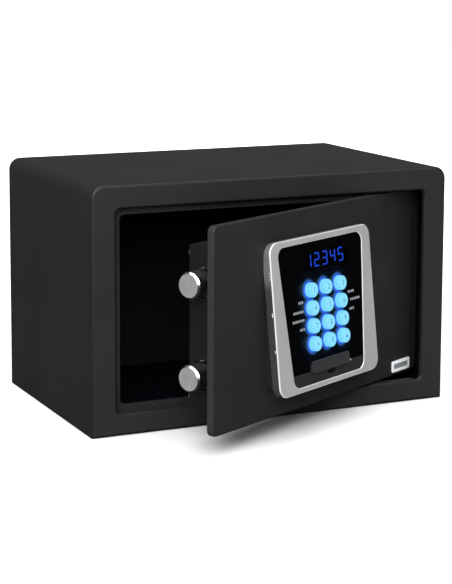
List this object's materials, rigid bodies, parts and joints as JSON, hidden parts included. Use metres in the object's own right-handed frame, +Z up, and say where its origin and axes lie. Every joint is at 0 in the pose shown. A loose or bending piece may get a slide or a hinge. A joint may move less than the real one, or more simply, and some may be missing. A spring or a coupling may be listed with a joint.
{
  "type": "in-room safe",
  "caption": "Compact steel in-room safe with a hinged door, motor-driven locking bolts, a tilted keypad with a lit display, an emergency keyhole flap and a carpeted floor.",
  "frame": {"origin": "centre of the cabinet's footprint on its underside; the open door is not counted", "axes": "+X to the right seen from the front, +Y towards the back wall, +Z up"},
  "size_m": [0.32, 0.2976, 0.2],
  "materials": {
    "powder_coat": "fine textured black powder coat",
    "carpet": "dark needle felt carpet",
    "zinc_steel": "zinc plated steel",
    "chrome": "polished chrome",
    "satin_silver": "satin silver paint",
    "housing_black": "matt black",
    "fascia_black": "high gloss black",
    "fascia_grey": "satin dark grey",
    "smoked_lens": "smoked clear",
    "key_glow": "translucent, back lit in cyan",
    "digit_glow": "lit blue segments",
    "print_white": "white print",
    "rubber_grey": "silicone",
    "board_green": "solder mask",
    "part_black": "moulded",
    "nylon_white": "moulded nylon",
    "brass": "plain",
    "label_silver": "satin",
    "cable_grey": "flat ribbon",
    "cell_wrap": "printed sleeve",
    "button_red": "moulded"
  },
  "bodies": {
    "safe_body": {"outer_wrap": "powder_coat", "base_plate": "powder_coat", "back_panel": "powder_coat", "front_frame": "powder_coat", "door_stop_frame": "powder_coat", "strike_bracket": "powder_coat", "hinge_brackets": "powder_coat", "hinge_bushes": "nylon_white", "floor_mat": "carpet"},
    "door": {"door_plate": "powder_coat", "hinge_lugs": "powder_coat", "hinge_pins": "zinc_steel", "label_plate": "label_silver", "keypad_base": "housing_black", "keypad_bezel": "satin_silver", "keypad_fascia": "fascia_black", "fascia_lower": "fascia_grey", "display_lens": "smoked_lens", "display_module": "part_black", "display_digits": "digit_glow", "fascia_marks": "print_white", "key_mat": "rubber_grey", "keypad_board": "board_green", "lock_cylinder": "brass", "cylinder_nut": "brass", "lock_cover": "powder_coat", "standoffs": "zinc_steel", "cover_screws": "zinc_steel", "bolt_guide": "zinc_steel", "gear_motor": "zinc_steel", "motor_bracket": "zinc_steel", "rack_guide": "nylon_white", "limit_switches": "part_black", "control_board": "board_green", "board_parts": "part_black", "ribbon_cable": "cable_grey", "battery_holder": "part_black", "battery_cells": "cell_wrap"},
    "bolt_set": {"bolt_upper": "chrome", "bolt_lower": "chrome", "bolt_carriage": "zinc_steel"},
    "pinion": {"motor_pinion": "brass"},
    "keyhole_flap": {"keyhole_flap": "fascia_grey"},
    "lock_plug": {"lock_plug": "brass", "lock_cam": "zinc_steel"},
    "battery_hatch": {"battery_hatch": "part_black"},
    "reset_button": {"reset_button": "button_red"},
    "key_1": {"key_1": "key_glow"},
    "key_2": {"key_2": "key_glow"},
    "key_3": {"key_3": "key_glow"},
    "key_4": {"key_4": "key_glow"},
    "key_5": {"key_5": "key_glow"},
    "key_6": {"key_6": "key_glow"},
    "key_7": {"key_7": "key_glow"},
    "key_8": {"key_8": "key_glow"},
    "key_9": {"key_9": "key_glow"},
    "key_clear": {"key_clear": "key_glow"},
    "key_0": {"key_0": "key_glow"},
    "key_lock": {"key_lock": "key_glow"}
  },
  "joints": [
    {"name": "door_hinge", "type": "hinge", "parent": "safe_body", "child": "door", "pos_m": [0.0875, -0.073, 0.1], "axis": [0, 0, 1], "range_deg": [-26.9, 68]},
    {"name": "bolt_slide", "type": "slide", "parent": "door", "child": "bolt_set", "axis": [-0.8918, -0.4524, 0], "range_m": [0, 0.016]},
    {"name": "pinion_spin", "type": "hinge", "parent": "door", "child": "pinion", "pos_m": [-0.0102, -0.1136, 0.08], "axis": [0.4524, -0.8918, 0], "range_deg": [0, 102]},
    {"name": "keyhole_flap_lift", "type": "hinge", "parent": "door", "child": "keyhole_flap", "pos_m": [0.02133, -0.15387, 0.06014], "axis": [-0.8918, -0.4524, 0], "range_deg": [0, 95]},
    {"name": "lock_plug_turn", "type": "hinge", "parent": "door", "child": "lock_plug", "pos_m": [0.00994, -0.13141, 0.05629], "axis": [-0.4524, 0.8918, 0], "range_deg": [0, 90]},
    {"name": "battery_hatch_slide", "type": "slide", "parent": "door", "child": "battery_hatch", "axis": [0, 0, 1], "range_m": [0, 0.044]},
    {"name": "reset_press", "type": "slide", "parent": "door", "child": "reset_button", "axis": [0.4524, -0.8918, 0], "range_m": [0, 0.0015], "stiffness_N_per_m": 500},
    {"name": "key_1_press", "type": "slide", "parent": "door", "child": "key_1", "axis": [-0.45, 0.8869, -0.1045], "range_m": [0, 0.0012], "stiffness_N_per_m": 900},
    {"name": "key_2_press", "type": "slide", "parent": "door", "child": "key_2", "axis": [-0.45, 0.8869, -0.1045], "range_m": [0, 0.0012], "stiffness_N_per_m": 900},
    {"name": "key_3_press", "type": "slide", "parent": "door", "child": "key_3", "axis": [-0.45, 0.8869, -0.1045], "range_m": [0, 0.0012], "stiffness_N_per_m": 900},
    {"name": "key_4_press", "type": "slide", "parent": "door", "child": "key_4", "axis": [-0.45, 0.8869, -0.1045], "range_m": [0, 0.0012], "stiffness_N_per_m": 900},
    {"name": "key_5_press", "type": "slide", "parent": "door", "child": "key_5", "axis": [-0.45, 0.8869, -0.1045], "range_m": [0, 0.0012], "stiffness_N_per_m": 900},
    {"name": "key_6_press", "type": "slide", "parent": "door", "child": "key_6", "axis": [-0.45, 0.8869, -0.1045], "range_m": [0, 0.0012], "stiffness_N_per_m": 900},
    {"name": "key_7_press", "type": "slide", "parent": "door", "child": "key_7", "axis": [-0.45, 0.8869, -0.1045], "range_m": [0, 0.0012], "stiffness_N_per_m": 900},
    {"name": "key_8_press", "type": "slide", "parent": "door", "child": "key_8", "axis": [-0.45, 0.8869, -0.1045], "range_m": [0, 0.0012], "stiffness_N_per_m": 900},
    {"name": "key_9_press", "type": "slide", "parent": "door", "child": "key_9", "axis": [-0.45, 0.8869, -0.1045], "range_m": [0, 0.0012], "stiffness_N_per_m": 900},
    {"name": "key_clear_press", "type": "slide", "parent": "door", "child": "key_clear", "axis": [-0.45, 0.8869, -0.1045], "range_m": [0, 0.0012], "stiffness_N_per_m": 900},
    {"name": "key_0_press", "type": "slide", "parent": "door", "child": "key_0", "axis": [-0.45, 0.8869, -0.1045], "range_m": [0, 0.0012], "stiffness_N_per_m": 900},
    {"name": "key_lock_press", "type": "slide", "parent": "door", "child": "key_lock", "axis": [-0.45, 0.8869, -0.1045], "range_m": [0, 0.0012], "stiffness_N_per_m": 900}
  ],
  "couplings": [
    {"joint": "pinion_spin", "follows": "bolt_slide", "rad_per_m": 111.11}
  ]
}
